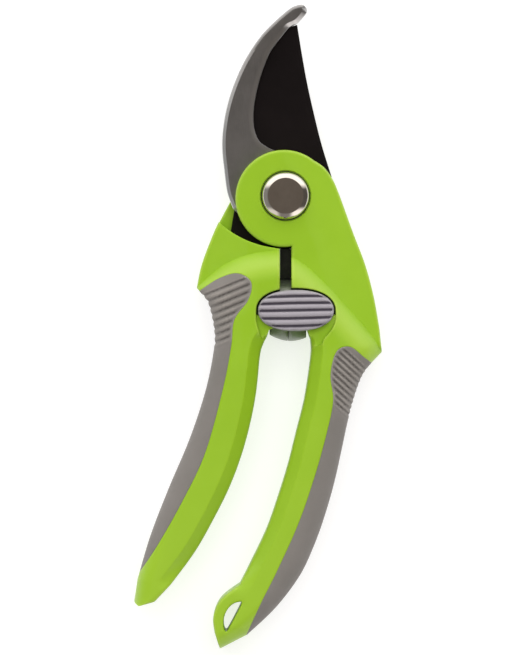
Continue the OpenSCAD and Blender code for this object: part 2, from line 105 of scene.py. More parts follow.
HANG_HOLE = [[-13.8, -126.9], [-15.6, -127.2], [-17.4, -128.4], [-18.8, -130.5], [-19.4, -133],
             [-19.2, -135.6], [-18.4, -136.2], [-17.2, -134.2], [-15.4, -130.8], [-14, -128]]
HOOK_OUTER = [[-16.4, -4], [-18.3, 1.3], [-19.3, 8.8], [-19.9, 15], [-19.6, 21.3], [-18.2, 28.8],
              [-15.7, 36.3], [-12, 43.9], [-6.7, 51.4], [0.8, 58.4], [4, 60]]
HOOK_TIP = [[4, 60], [5.6, 60], [6.7, 58.8], [6.4, 57.2], [3.8, 54.3]]
HOOK_INNER = [[3.8, 54.3], [1.2, 53], [-0.3, 51.3], [-2.9, 48], [-5.2, 44.5], [-8, 37], [-9.6, 30],
              [-10, 25], [-9.6, 20.5], [-8, 17], [-5, 15]]
HOOK_TANG = [[16.6, -6], [18, -16], [17.6, -26], [17.4, -36], [17.4, -50], [15, -64], [12.8, -74],
             [9.6, -76], [10.6, -64], [12.4, -50], [10.6, -40], [8.8, -28], [4.6, -18]]
BLADE_EDGE = [[3.7, 54], [0.4, 52.7], [-3.6, 48.6], [-7, 43.6], [-10.2, 36.6], [-11.8, 30], [-12.4, 24],
              [-12.3, 18], [-12.6, 12], [-13.9, 6], [-15.2, 0], [-16.4, -6]]
BLADE_TANG = [[-18, -16], [-17.4, -26], [-16.6, -36], [-17.2, -50], [-20.5, -64], [-23.5, -74],
              [-21, -76], [-16.4, -64], [-12.8, -50], [-9.7, -40], [-8.8, -28], [-4.6, -18]]
BLADE_SPINE = [[14.5, 6.3], [11.4, 16.3], [8.9, 26.3], [6.7, 36.3], [4.9, 46.4]]


# ---------------------------------------------------------------- plane geometry
def spline(points, steps=8):
    """A smooth curve through the points."""
    p = np.array(points, float)
    q = np.vstack([p[:1], p, p[-1:]])
    t = np.linspace(0, 1, steps, endpoint=False)[:, None]
    parts = []
    for a, b, c, d in zip(q[:-3], q[1:-2], q[2:-1], q[3:]):
        parts.append(0.5 * (2 * b + (c - a) * t + (2 * a - 5 * b + 4 * c - d) * t**2
                            + (3 * b - a - 3 * c + d) * t**3))
    return np.vstack(parts + [p[-1:]])


def arc(r, a_from, a_to, centre=(0, 0), steps=90):
    a = np.radians(np.linspace(a_from, a_to, steps + 1))
    return np.column_stack([centre[0] + r * np.cos(a), centre[1] + r * np.sin(a)])


def even(line, step):
    """The same line, with points evenly spaced."""
    line = np.array(line, float)
    s = np.r_[0, np.cumsum(np.hypot(*np.diff(line, axis=0).T))]
    t = np.linspace(0, s[-1], max(1, round(s[-1] / step)) + 1)
    return np.column_stack([np.interp(t, s, line[:, 0]), np.interp(t, s, line[:, 1])])


def join(*sections, step=0.6):
    """One line of several sections, evenly spaced within each, so that corners between them stay."""
    rows = []
    for section in sections:
        for p in even(section, step):
            if not rows or np.hypot(*(p - rows[-1])) > 0.02:
                rows.append(p)
    return np.array(rows)


def closed(line):
    return np.vstack([line, line[:1]])


def nearest(points, line):
    """Distance from each point to a line, and its side: 1 on the left of the line, -1 on the right."""
    a = line[:-1]
    e = line[1:] - a
    ee = np.maximum((e * e).sum(1), 1e-12)
    dist, side = np.empty(len(points)), np.empty(len(points))
    for k in range(0, len(points), 3000):
        q = points[k:k + 3000, None] - a
        t = np.clip((q * e).sum(2) / ee, 0, 1)
        r = q - t[..., None] * e
        d2 = (r * r).sum(2)
        i = d2.argmin(1)
        j = np.arange(len(i))
        dist[k:k + 3000] = np.sqrt(d2[j, i])
        side[k:k + 3000] = np.where(e[i, 0] * q[j, i, 1] - e[i, 1] * q[j, i, 0] < 0, -1, 1)
    return dist, side


def away(points, line):
    return nearest(points, line)[0]


def inside(points, loop):
    a, b = loop, np.roll(loop, -1, axis=0)
    rise = np.where(b[:, 1] == a[:, 1], 1, b[:, 1] - a[:, 1])
    found = np.empty(len(points), bool)
    for k in range(0, len(points), 3000):
        x, y = points[k:k + 3000, 0, None], points[k:k + 3000, 1, None]
        hit = ((a[:, 1] > y) != (b[:, 1] > y)) & (x < a[:, 0] + (y - a[:, 1]) * (b - a)[:, 0] / rise)
        found[k:k + 3000] = hit.sum(1) % 2 == 1
    return found


def offset(line, d, loop=True):
    """The line moved to its left by d."""
    if loop:
        ahead, behind = np.roll(line, -1, axis=0), np.roll(line, 1, axis=0)
    else:
        ahead, behind = np.vstack([line[1:], line[-1:]]), np.vstack([line[:1], line[:-1]])
    t = ahead - behind
    t /= np.maximum(np.hypot(t[:, 0], t[:, 1]), 1e-9)[:, None]
    return line + d * np.column_stack([-t[:, 1], t[:, 0]])


def smooth(x, lo=0.0, hi=1.0):
    t = np.clip((x - lo) / (hi - lo), 0, 1)
    return t * t * (3 - 2 * t)


def roll_off(d, width, height, power=2.0):
    """How far a rounded edge has dropped at distance d from it."""
    u = np.clip(1 - d / width, 0, 1)
    return height * (1 - (1 - u**power) ** (1 / power))


def steps_of(width, count):
    """Distances from an edge at which a rounding of that width wants points."""
    return [width * (1 - math.cos(math.pi / 2 * k / count)) for k in range(1, count + 1)]


# ---------------------------------------------------------------- meshes between two height fields
class Sheet:
    """A triangulated patch of the plane that follows given lines."""

    def __init__(self, outline, spacing):
        self.outline, self.spacing = outline, spacing
        self.lines, self.free = [closed(outline)], []

    def line(self, *lines):
        self.lines += [np.array(x) for x in lines]

    def step(self, line, gap=0.04, loop=True):
        """A pair of lines for a steep wall."""
        for d in (gap, -gap):
            moved = offset(line, d, loop)
            self.lines.append(closed(moved) if loop else moved)

    def ring(self, line, distances, both=False):
        """Points beside a line, at each distance to its left, or on both sides."""
        for d in distances:
            for s in ((1, -1) if both else (1,)):
                moved = offset(line, d * s, loop=False)
                self.free.append(moved[away(moved, line) > 0.96 * d])

    def cells(self, origin, angle, along, across, lengths, keep):
        """A rectangular patch of points, turned by an angle."""
        c, s = math.cos(math.radians(angle)), math.sin(math.radians(angle))
        u = np.arange(-lengths[0] / 2, lengths[0] / 2, along)
        v = np.arange(-lengths[1] / 2, lengths[1] / 2, across)
        gu, gv = (g.ravel() for g in np.meshgrid(u, v))
        p = np.column_stack([origin[0] + gu * c - gv * s, origin[1] + gu * s + gv * c])
        self.free.append(p[keep(p)])

    def build(self):
        walls = np.vstack([even(x, 0.4) for x in self.lines])
        tree = kdtree.KDTree(len(walls))
        for i, p in enumerate(walls):
            tree.insert((p[0], p[1], 0), i)
        tree.balance()
        ring = np.vstack(self.free) if self.free else np.empty((0, 2))
        ring = ring[inside(ring, self.outline)] if len(ring) else ring
        # rings first, then a loose grid where nothing is near
        kept = []
        seen = set()
        for p in ring:
            cell = (round(p[0] / 0.07), round(p[1] / 0.07))
            if cell in seen or tree.find((p[0], p[1], 0))[2] < 0.045:
                continue
            seen.add(cell)
            kept.append(p)
        kept = np.array(kept) if kept else np.empty((0, 2))
        both = np.vstack([walls, kept])
        tree = kdtree.KDTree(len(both))
        for i, p in enumerate(both):
            tree.insert((p[0], p[1], 0), i)
        tree.balance()
        lo, hi = self.outline.min(0), self.outline.max(0)
        s = self.spacing
        ys = np.arange(lo[1], hi[1], s * 0.866)
        grid = np.vstack([np.column_stack([np.arange(lo[0] + (k % 2) * s / 2, hi[0], s),
                                           np.full(len(np.arange(lo[0] + (k % 2) * s / 2, hi[0], s)), y)])
                          for k, y in enumerate(ys)])
        grid = grid[inside(grid, self.outline)]
        grid = np.array([p for p in grid if tree.find((p[0], p[1], 0))[2] > 0.6 * s])
        verts, edges = [], []
        for x in self.lines:
            k = len(verts)
            verts.extend(x.tolist())
            edges.extend((k + i, k + i + 1) for i in range(len(x) - 1))
        verts.extend(kept.tolist())
        verts.extend(grid.tolist() if len(grid) else [])
        v, _, f, *_ = geometry.delaunay_2d_cdt([Vector(p) for p in verts], edges, [], 0, 1e-4)
        self.v = np.array([tuple(p) for p in v])
        self.f = np.array([tuple(t) for t in f if len(t) == 3])
        a, b, c = (self.v[self.f[:, k]] for k in range(3))
        area = np.cross(b - a, c - a)
        self.f[area < 0] = self.f[area < 0][:, ::-1]
        self.mid = (a + b + c) / 3
        good = inside(self.mid, self.outline) & (np.abs(area) > 1e-9)
        self.f, self.mid = self.f[good], self.mid[good]
        return self


def put(name, verts, faces, angle=32):
    """A mesh object from points in millimetres, with smooth faces and sharp edges over an angle."""
    mesh = bpy.data.meshes.new(name)
    mesh.from_pydata((np.array(verts) * 0.001).tolist(), [], faces)
    mesh.validate()
    mesh.update()
    mesh.polygons.foreach_set("use_smooth", [True] * len(mesh.polygons))
    mesh.set_sharp_from_angle(angle=math.radians(angle))
    obj = bpy.data.objects.new(name, mesh)
    bpy.context.scene.collection.objects.link(obj)
    return obj


def solid(name, sheet, chosen, top, low, angle=32, marks=None):
    """A closed mesh over the chosen triangles, between two height functions of the plane."""
    tri = sheet.f[chosen]
    used, flat = np.unique(tri, return_inverse=True)
    tri = flat.reshape(-1, 3)
    p, n = sheet.v[used], len(used)
    high, base = top(p), low(p)
    base = np.minimum(base, high - 0.05)
    edge = np.vstack([tri[:, [0, 1]], tri[:, [1, 2]], tri[:, [2, 0]]])
    rim = edge[~np.isin(edge[:, 0] * n + edge[:, 1], edge[:, 1] * n + edge[:, 0])]
    verts = np.vstack([np.column_stack([p, high]), np.column_stack([p, base])])
    faces = tri.tolist() + (tri[:, ::-1] + n).tolist()
    faces += [[a + n, b + n, b, a] for a, b in rim.tolist()]
    obj = put(name, verts, faces, angle)
    for key, values in (marks(p) if marks else {}).items():
        layer = obj.data.attributes.new(key, "FLOAT", "POINT")
        layer.data.foreach_set("value", np.resize(values, 2 * n).astype(np.float32))
    return obj


def cut(obj, *cutters):
    """Take the cutters' shapes out of the object."""
    for cutter in cutters:
        mod = obj.modifiers.new("cut", "BOOLEAN")
        mod.operation, mod.solver, mod.object = "DIFFERENCE", "MANIFOLD", cutter
    bpy.context.view_layer.update()
    done = bpy.data.meshes.new_from_object(obj.evaluated_get(bpy.context.evaluated_depsgraph_get()))
    obj.modifiers.clear()
    old, obj.data = obj.data, done
    bpy.data.meshes.remove(old)
    done.name = obj.name
    for cutter in cutters:
        bpy.data.objects.remove(cutter)
    done.polygons.foreach_set("use_smooth", [True] * len(done.polygons))
    done.set_sharp_from_angle(angle=math.radians(32))
    return obj


def lathe(name, profile, count=96, centre=(0, 0), angle=40):
    """A closed solid of revolution, from (radius, height) pairs from the top down the outside."""
    verts, faces, n = [], [], len(profile)
    for k in range(count):
        a = 2 * math.pi * k / count
        verts += [(centre[0] + r * math.cos(a), centre[1] + r * math.sin(a), z) for r, z in profile]
    for k in range(count):
        j = (k + 1) % count
        faces += [[k * n + i, k * n + i + 1, j * n + i + 1, j * n + i] for i in range(n - 1)]
    top, end = len(verts), len(verts) + 1
    verts += [(centre[0], centre[1], profile[0][1]), (centre[0], centre[1], profile[-1][1])]
    faces += [[top, k * n, ((k + 1) % count) * n] for k in range(count)]
    faces += [[end, ((k + 1) % count) * n + n - 1, k * n + n - 1] for k in range(count)]
    return put(name, verts, faces, angle)


def drum(x0, x1, r, y, z, count=72):
    """A closed cylinder along X, as a cutter."""
    angles = [2 * math.pi * k / count for k in range(count)]
    verts = [(x, y + r * math.cos(a), z + r * math.sin(a)) for x in (x0, x1) for a in angles]
    faces = [[count + k, count + (k + 1) % count, (k + 1) % count, k] for k in range(count)]
    faces += [list(range(count)), list(range(2 * count - 1, count - 1, -1))]
    return put("cutter", verts, faces)


# ---------------------------------------------------------------- the handles
def oval(w, h, cx, cy, power=0.9, step=3):
    a = np.radians(np.arange(0, 360, step))
    c, s = np.cos(a), np.sin(a)
    return np.column_stack([cx + w / 2 * np.sign(c) * np.abs(c) ** power,
                            cy + h / 2 * np.sign(s) * np.abs(s) ** power])


def recess_loop():
    """The button's recess: its oval above, and walls that run in towards the crotch below."""
    a = oval(BUTTON_W + 2 * BUTTON_GAP, BUTTON_H + 2 * BUTTON_GAP, BUTTON_X, BUTTON_Y)
    high = a[a[:, 1] >= BUTTON_Y - 1e-6]
    high = high[np.argsort(-high[:, 0])]
    left_wall = spline([high[-1], [-9.1, -39.2], [-7.9, -43.4], [-6.2, -46.3]])
    right_wall = spline([[8, -47.6], [11.3, -46.3], [11.9, -44.7], [13.9, -42.4], [15.2, -39.9],
                         [15.6, -37.8], high[0]])
    return join(high, left_wall, np.array([left_wall[-1], right_wall[0]]), right_wall, step=0.5)[:-1]


RECESS = recess_loop()
BUTTON_LINE = even(closed(oval(BUTTON_W - 0.2, BUTTON_H - 0.2, BUTTON_X, BUTTON_Y)), 0.3)[:-1]


def past(p, origin, angle):
    """How far each point lies below a line through the origin, turned by an angle."""
    c, s = math.cos(math.radians(angle)), math.sin(math.radians(angle))
    return (p[:, 0] - origin[0]) * s - (p[:, 1] - origin[1]) * c


def ribbed(p, origin, angle, pitch, first, last):
    """1 among the ribs, and 0 beyond them."""
    v = past(p, origin, angle)
    return smooth(v, first, first + 0.5) * (1 - smooth(v, last, last + 2.0))


def ribs(p, origin, angle, pitch, first, last):
    """Depth of the rib grooves at each point, from 0 on a rib's back to 1 in a groove."""
    wave = 1 - np.abs(np.sin(np.pi * past(p, origin, angle) / pitch)) ** 0.8
    return wave * ribbed(p, origin, angle, pitch, first, last)


class Handle:
    """One handle: the lines of its outline, and the heights of its front and back."""

    def __init__(self, side, shoulder, back, tip, loop, inner, crotch, seam, crease, rib):
        self.side, self.rib = side, rib
        centre = (-side * DISC_SIDE, -DISC_DROP)
        turned = math.degrees(math.asin((SLOT + DISC_SIDE) / DISC_R))
        start = -90 + side * turned
        disc = arc(DISC_R, start, start - side * (DISC_SWEEP + turned), centre)
        sections = [disc, spline([disc[-1]] + shoulder[1:]), np.array([shoulder[-1], back[0]]),
                    spline(back), np.array(tip)]
        if loop:
            sections.append(spline(loop))
        sections += [spline(inner), np.array(crotch), np.array([crotch[-1], disc[0]])]
        sections = [x for x in sections if np.hypot(*(x[0] - x[-1])) > 1e-6 or len(x) > 2]
        outline = join(*sections, step=0.55)[:-1]
        # every line runs so that the handle's inside is on its left
        way = -side
        self.outline = self.scallop(outline[::way])
        self.outer = join(spline(back), np.array(tip[:2]), step=0.5)[::way]
        self.inner = even(spline(inner), 0.5)[::way]
        self.seam = even(spline(seam), 0.45)
        self.crease = even(spline(crease), 0.6)

    def scallop(self, line):
        """Grooves of the ribs nick the outline."""
        groove = ribs(line, *self.rib)
        moved = offset(line, 1.0)
        shift = (moved - line) * (RIB_NICK * groove * self.on_back(line))[:, None]
        return line + shift

    def on_back(self, p):
        """1 on the outer edge beside the soft grip."""
        return ((p[:, 0] > 19) if self.side > 0 else (p[:, 0] < -21.8)).astype(float)

    def body_up(self, p):
        """Half thickness of the raised body."""
        return MID - (MID - TAIL_T / 2) * np.clip((-54 - p[:, 1]) / 91, 0, 1)

    def grip_mask(self, p):
        far = np.array([[300.0 * self.side, -300], [300.0 * self.side, self.seam[0, 1]]])
        return inside(p, np.vstack([self.seam, far]))

    def drops(self, p, front):
        """How far the surface lies below the flat body: rounded edges, bevels, ribs and the seam."""
        d_in = away(p, self.inner)
        y = p[:, 1]
        drop = roll_off(away(p, closed(self.outline)), EDGE_R, EDGE_R)
        # the soft grip's side is well rounded, less so towards the tail
        grown = smooth(-y, 28, 36) if self.side < 0 else smooth(-y, 44, 54)
        width = GRIP_W - GRIP_NARROWS * smooth(-y, 70, 135)
        drop = np.maximum(drop, roll_off(away(p, self.outer) / width, 1.0, GRIP_H, 2.1) * grown)
        # a bevel runs down the inner edge and dies out at the tail
        low_end = 1 - smooth(-y, 112, 126)
        start = smooth(-y, 41.5, 44.5)
        bevel = np.clip(1 - d_in / BEVEL_W, 0, 1)
        blend = np.clip((BEVEL_W + BEVEL_SOFT - d_in) / (2 * BEVEL_SOFT), 0, 1)
        bevel = BEVEL_H * np.where(d_in > BEVEL_W - BEVEL_SOFT, BEVEL_SOFT / BEVEL_W / 2 * blend**2, bevel)
        drop = drop + bevel * low_end * start
        d_seam = away(p, self.seam)
        drop = drop + RIB_DEPTH * ribs(p, *self.rib) * self.grip_mask(p) * smooth(d_seam, 0.25, 1.3)
        return drop + SEAM_DEPTH * roll_off(d_seam, SEAM_W, 1.0) * (1 if front else 0.8)

    def rise(self, p):
        """Share of the way across the slope from the flank up to the raised body."""
        d, s = nearest(p, self.crease)
        return np.clip(d * s / RISE_W, 0, 1)

    def raised(self, p, flank, sign):
        """Height of the flank and the raised body, before the edges are rounded."""
        t = self.rise(p)
        up = MID + sign * self.body_up(p)
        return flank + (up - flank) * (1 - (1 - t) ** RISE_POWER)

    def in_clearance(self, p):
        """True where the other handle's disc takes the room."""
        return (np.hypot(p[:, 0], p[:, 1]) < CLEAR_R) | (np.hypot(p[:, 0], p[:, 1] - CROWN_Y) < CROWN_R)

    def clearance_line(self):
        """The edge of that room, within the outline."""
        a = arc(CROWN_R, 180, 360, (0, CROWN_Y), 700)
        b = arc(CLEAR_R, 180, 360, (0, 0), 500)
        pts = np.vstack([a[np.hypot(a[:, 0], a[:, 1]) >= CLEAR_R - 1e-3],
                         b[np.hypot(b[:, 0], b[:, 1] - CROWN_Y) >= CROWN_R - 1e-3]])
        pts = pts[np.argsort(pts[:, 0])]
        return even(pts, 0.5)

    def front(self, p):
        if self.side > 0:
            fall = 1.9 * smooth(p[:, 0] + 0.35 * p[:, 1], 4, 19)
            z = self.raised(p, FRONT_PLATE - fall, 1) - self.drops(p, True)
            from_bore = np.hypot(p[:, 0], p[:, 1]) - BORE_R
            z = np.where(from_bore < 0, SEAT_Z - 0.5, z - roll_off(np.abs(from_bore), 0.3, 0.3))
        else:
            fall = 0.6 * smooth(-p[:, 0], 12, 24)
            z = self.raised(p, FRONT_PLATE - fall, 1) - self.drops(p, True)
            line = self.clearance_line()
            z = z - roll_off(away(p, line), 0.5, 0.5)
            under = BLADE_BACK - roll_off(away(p, closed(self.outline)), 0.5, 0.5)
            z = np.where(self.in_clearance(p), under, z)
        pocket = inside(p, RECESS)
        rim = roll_off(away(p, closed(RECESS)), RIM, RIM)
        z = np.where(pocket, np.minimum(z, FLOOR_Z), z - np.where(p[:, 1] > -45, rim, 0))
        z = np.where(self.in_gap(p), np.minimum(z, GAP_Z), z)
        return z

    def in_gap(self, p):
        """True in the deep gap round the button's upper half."""
        return inside(p, RECESS) & ~inside(p, BUTTON_LINE) & (p[:, 1] > BUTTON_Y - 1.5)

    def back(self, p):
        """The back mirrors the front: the left handle's disc is behind, and the right has none there."""
        z = self.raised(p, BACK_PLATE, -1) + self.drops(p, False)
        if self.side > 0:
            line = self.clearance_line()
            z = z + roll_off(away(p, line), 0.5, 0.5)
            over = HOOK_FRONT + roll_off(away(p, closed(self.outline)), 0.5, 0.5)
            z = np.where(self.in_clearance(p), over, z)
        return z

    def make(self, names, holes=()):
        sheet = Sheet(self.outline, 1.25)
        sheet.line(self.seam)
        clear = self.clearance_line()
        sheet.step(clear, 0.03, loop=False)
        sheet.step(RECESS, 0.03)
        sheet.step(BUTTON_LINE, 0.03)
        if self.side > 0:
            bore = arc(BORE_R, 0, 360, steps=80)[:-1]
            sheet.step(bore, 0.03)
            sheet.ring(closed(bore[::-1]), [0.1, 0.2, 0.3, 0.6])
        for hole in holes:
            sheet.line(closed(hole))
            sheet.ring(closed(hole), [0.08, 0.3, 0.7, 1.1], both=True)
        sheet.ring(closed(self.outline), steps_of(EDGE_R, 4) + [1.25])
        sheet.ring(self.outer, steps_of(7.6, 9)[1:])
        sheet.ring(self.inner, [1.9, 2.8, BEVEL_W - BEVEL_SOFT, BEVEL_W, BEVEL_W + BEVEL_SOFT])
        sheet.ring(self.seam, [0.08, 0.2, 0.36], both=True)
        sheet.ring(clear, [0.1, 0.25, 0.5, 0.9], both=True)
        sheet.ring(closed(RECESS), [0.1, 0.25, 0.45, 0.8], both=True)
        sheet.ring(self.crease, [0.25, 0.9, 1.8, 2.8, 3.9, 5.1, 6.4])
        sheet.line(self.crease)
        origin, angle, pitch, first, last = self.rib
        reach = last + 2.2

        def zone(p):
            v = past(p, origin, angle)
            return self.grip_mask(p) & (v > first) & (v < reach)

        sheet.cells(origin, angle, 0.7, pitch / 8, (44, 2 * reach + 2), zone)
        sheet.build()
        holed = np.zeros(len(sheet.f), bool)
        for hole in holes:
            holed |= inside(sheet.mid, hole)
        soft = self.grip_mask(sheet.mid)

        def front(p):
            z = self.front(p)
            for hole in holes:
                z = z - roll_off(away(p, closed(hole)), 0.6, 0.6)
            return z

        def back(p):
            z = self.back(p)
            for hole in holes:
                z = z + roll_off(away(p, closed(hole)), 0.6, 0.6)
            return z

        def marks(p):
            # gap marks the deep gap round the button on the front, coloured near black as painted shade
            # slope marks the band up to the raised body, lightened as a painted highlight
            t = self.rise(p)
            return {"edge": np.minimum(away(p, closed(self.outline)), away(p, closed(RECESS))),
                    "slope": 4 * t * (1 - t),
                    "gap": np.r_[self.in_gap(p), np.zeros(len(p))], "ribbed": ribbed(p, *self.rib)}

        core = solid(names[0], sheet, ~soft & ~holed, front, back, marks=marks)
        grip = solid(names[1], sheet, soft & ~holed, front, back, marks=marks)
        return core, grip


right = Handle(1, RIGHT_SHOULDER, RIGHT_BACK, RIGHT_TIP, RIGHT_LOOP, RIGHT_INNER, RIGHT_CROTCH,
               RIGHT_SEAM, RIGHT_CREASE, ((22, -49.5), -42, 1.55, 0.2, 15.5))
left = Handle(-1, LEFT_SHOULDER, LEFT_BACK, LEFT_TIP, None, LEFT_INNER, LEFT_CROTCH,
              LEFT_SEAM, LEFT_CREASE, ((-17, -25.5), 22, 2.13, 0.9, 17.5))
hang_hole = even(spline(HANG_HOLE + HANG_HOLE[:1], 6), 0.4)[:-1]
right_core, right_grip = right.make(("right_handle_shell", "right_soft_grip"), [hang_hole])
left_core, left_grip = left.make(("left_handle_shell", "left_soft_grip"))
cut(right_core, drum(-20, POCKET_RIGHT, POCKET_R, SPRING_Y, MID))
cut(left_core, drum(POCKET_LEFT, 20, POCKET_R, SPRING_Y, MID))


# ---------------------------------------------------------------- blades
def hook_piece():
    outline = join(spline(HOOK_OUTER), spline(HOOK_TIP), spline(HOOK_INNER),
                   arc(BLADE_DISC_R, 100, 0), spline(HOOK_TANG), arc(BLADE_DISC_R, -90, -140), step=0.5)[:-1]
    outline = outline[::-1]
    outer = even(spline(HOOK_OUTER + HOOK_TIP[1:3]), 0.5)[::-1]
    anvil = even(spline(HOOK_TIP[2:4] + HOOK_INNER), 0.5)[::-1]
    sheet = Sheet(outline, 1.6)
    sheet.ring(closed(outline), [0.12, 0.25])
    for d, line in ((1.1, outer), (1.4, anvil)):
        moved = offset(line, d, loop=False)
        good = away(moved, line) > 0.97 * d
        sheet.line(moved[good & inside(moved, outline)])
    sheet.ring(outer, [0.4, 0.75, 1.4, 1.8])
    sheet.build()

    def front(p):
        d = away(p, outer)
        z = HOOK_FRONT - (0.8 - 0.33 * smooth(p[:, 1], 24, 50)) * np.clip(1 - d / 1.1, 0, 1)
        e = away(p, anvil)
        depth = (0.25 + 0.7 * smooth(p[:, 1], 50, 54)) * smooth(p[:, 1], 16, 22)
        z = z - depth * np.clip(1 - e / 1.4, 0, 1)
        return z - roll_off(away(p, closed(outline)), 0.22, 0.22)

    def back(p):
        return HOOK_BACK + roll_off(away(p, closed(outline)), 0.25, 0.25)

    def marks(p):
        return {"ground": away(p, outer), "inner": away(p, anvil),
                "bright": away(p, anvil) + 9 * (1 - smooth(p[:, 1], 50.5, 53.5)),
                "edge": away(p, closed(outline))}

    return solid("hook_steel_blade", sheet, np.ones(len(sheet.f), bool), front, back, 24, marks)


def blade_piece():
    outline = join(spline(BLADE_EDGE), spline(BLADE_TANG), arc(BLADE_NECK_R, -100, -76),
                   arc(BLADE_DISC_R, -70, 0), spline(BLADE_SPINE),
                   np.array([BLADE_SPINE[-1], BLADE_EDGE[0]]), step=0.5)[:-1]
    edge = even(spline(BLADE_EDGE), 0.5)
    sheet = Sheet(outline, 1.6)
    sheet.ring(closed(outline), [0.12, 0.25])
    hole = arc(5.05, 0, 360, steps=64)[:-1]
    sheet.line(closed(hole))
    moved = offset(edge, 4.2, loop=False)
    sheet.line(moved[(away(moved, edge) > 0.97 * 4.2) & inside(moved, outline)])
    sheet.ring(edge, [1, 2, 3, 3.9, 4.5])
    sheet.build()

    def front(p):
        return BLADE_FRONT - roll_off(away(p, closed(outline)), 0.18, 0.18)

    def back(p):
        ground = np.clip(1 - away(p, edge) / 4.2, 0, 1) * smooth(p[:, 1], 4, 14)
        return BLADE_BACK + 2.65 * ground + roll_off(away(p, closed(outline)), 0.25, 0.2) * (1 - ground)

    def marks(p):
        return {"ground": away(p, edge) + 9 * (1 - smooth(p[:, 1], 4, 14)),
                "edge": away(p, closed(outline))}

    return solid("coated_cutting_blade", sheet, ~inside(sheet.mid, hole), front, back, 24, marks)


hook = hook_piece()
blade = blade_piece()


# ---------------------------------------------------------------- bolt and nut
def bolt_piece():
    rim_z = SEAT_Z + RIM_H
    profile = []
    # a low cap in the middle, then a steeper rounded shoulder
    cap_r, cap_drop, lean = 5.45, 0.45, 0.85
    fall = DOME_H - cap_drop - lean
    for k in range(1, 13):
        x = cap_r * k / 12
        profile.append((x, rim_z + DOME_H - cap_drop * (k / 12) ** 2))
    for k in range(1, 17):
        u = math.sin(math.pi / 2 * k / 16)
        profile.append((cap_r + (HEAD_R - cap_r) * u,
                        rim_z + DOME_H - cap_drop - lean * u - fall * (1 - math.sqrt(1 - u * u))))
    profile += [(HEAD_R, SEAT_Z + 0.25),
                (HEAD_R - 0.25, SEAT_Z), (BOLT_R + 0.01, SEAT_Z), (BOLT_R, SEAT_Z - 0.1)]
    profile.append((BOLT_R, 6.2))
    z = 6.2
    pitch = 1.25
    while z - pitch > 0.4:
        profile += [(BOLT_R - 0.45, z - 0.4), (BOLT_R, z - 0.55 * pitch), (BOLT_R, z - 0.7 * pitch)]
        z -= pitch
    profile += [(BOLT_R - 0.5, 0.05), (BOLT_R - 0.7, 0.0)]
    return lathe("dome_bolt", profile, angle=60)


def nut_piece():
    """Hexagon with its corners turned off at both ends, and a bore."""
    count, rows = 72, []
    angles = [2 * math.pi * k / count for k in range(count)]
    for z, cap in ((NUT_H, 6.55), (NUT_H - 0.12, 6.75), (NUT_H - 0.75, 9),
                   (0.75, 9), (0.12, 6.75), (0, 6.55)):
        ring = []
        for a in angles:
            flat = NUT_FLAT / math.cos((a + math.pi / 6) % (math.pi / 3) - math.pi / 6)
            ring.append((min(flat, cap) * math.cos(a), min(flat, cap) * math.sin(a), z))
        rows.append(ring)
    fit, mouth = BOLT_R + 0.02, BOLT_R + 0.45
    for r, z in ((mouth, 0), (fit, 0.45), (fit, NUT_H - 0.45), (mouth, NUT_H)):
        rows.append([(r * math.cos(a), r * math.sin(a), z) for a in angles])
    verts = [p for ring in rows for p in ring]
    faces = []
    for i in range(len(rows)):
        j = (i + 1) % len(rows)
        faces += [[i * count + k, j * count + k, j * count + (k + 1) % count, i * count + (k + 1) % count]
                  for k in range(count)]
    return put("hex_nut", verts, faces, 25)


bolt = bolt_piece()
nut = nut_piece()


# ---------------------------------------------------------------- volute spring
def spring_piece():
    """Two cones of one strip, wide in the middle, as coils that slide over each other."""
    wide, cross, gap = 0.5 / SPRING_TURNS, 0.3 / SPRING_TURNS, 0.08
    half = (SPRING_RIGHT - SPRING_LEFT - gap) / 4
    mid = (SPRING_LEFT + SPRING_RIGHT) / 2
    soft = 0.14
    across = np.linspace(-half + soft, half - soft, 6).tolist()
    section = [(-half, -soft)] + [(x, 0) for x in across] + [(half, -soft), (half, -STRIP_T + soft)]
    section += [(x, -STRIP_T) for x in across[::-1]] + [(-half, -STRIP_T + soft)]
    count = 400
    verts, turn = [], []
    for i in range(count + 1):
        t = 2 * i / count - 1
        a = 2 * math.pi * SPRING_TURNS * t
        r = SPRING_R - (SPRING_R - SPRING_IN) * (max(abs(t) - wide, 0) / (1 - wide)) ** 0.75
        x = mid + math.copysign(min(abs(t) / cross, 1), t) * (half + gap / 2)
        for dx, dr in section:
            out = r + dr - 0.0225 * (1 - math.cos(a)) * (x + dx - 1.6) ** 2
            verts.append((x + dx, SPRING_Y + out * math.cos(a), MID - out * math.sin(a)))
            turn.append(t)
    n = len(section)
    faces = [list(range(n)), [count * n + k for k in range(n - 1, -1, -1)]]
    faces += [[i * n + k, (i + 1) * n + k, (i + 1) * n + (k + 1) % n, i * n + (k + 1) % n]
              for i in range(count) for k in range(n)]
    return put("volute_strip", verts, faces, 50), np.array(turn)


spring, spring_turn = spring_piece()


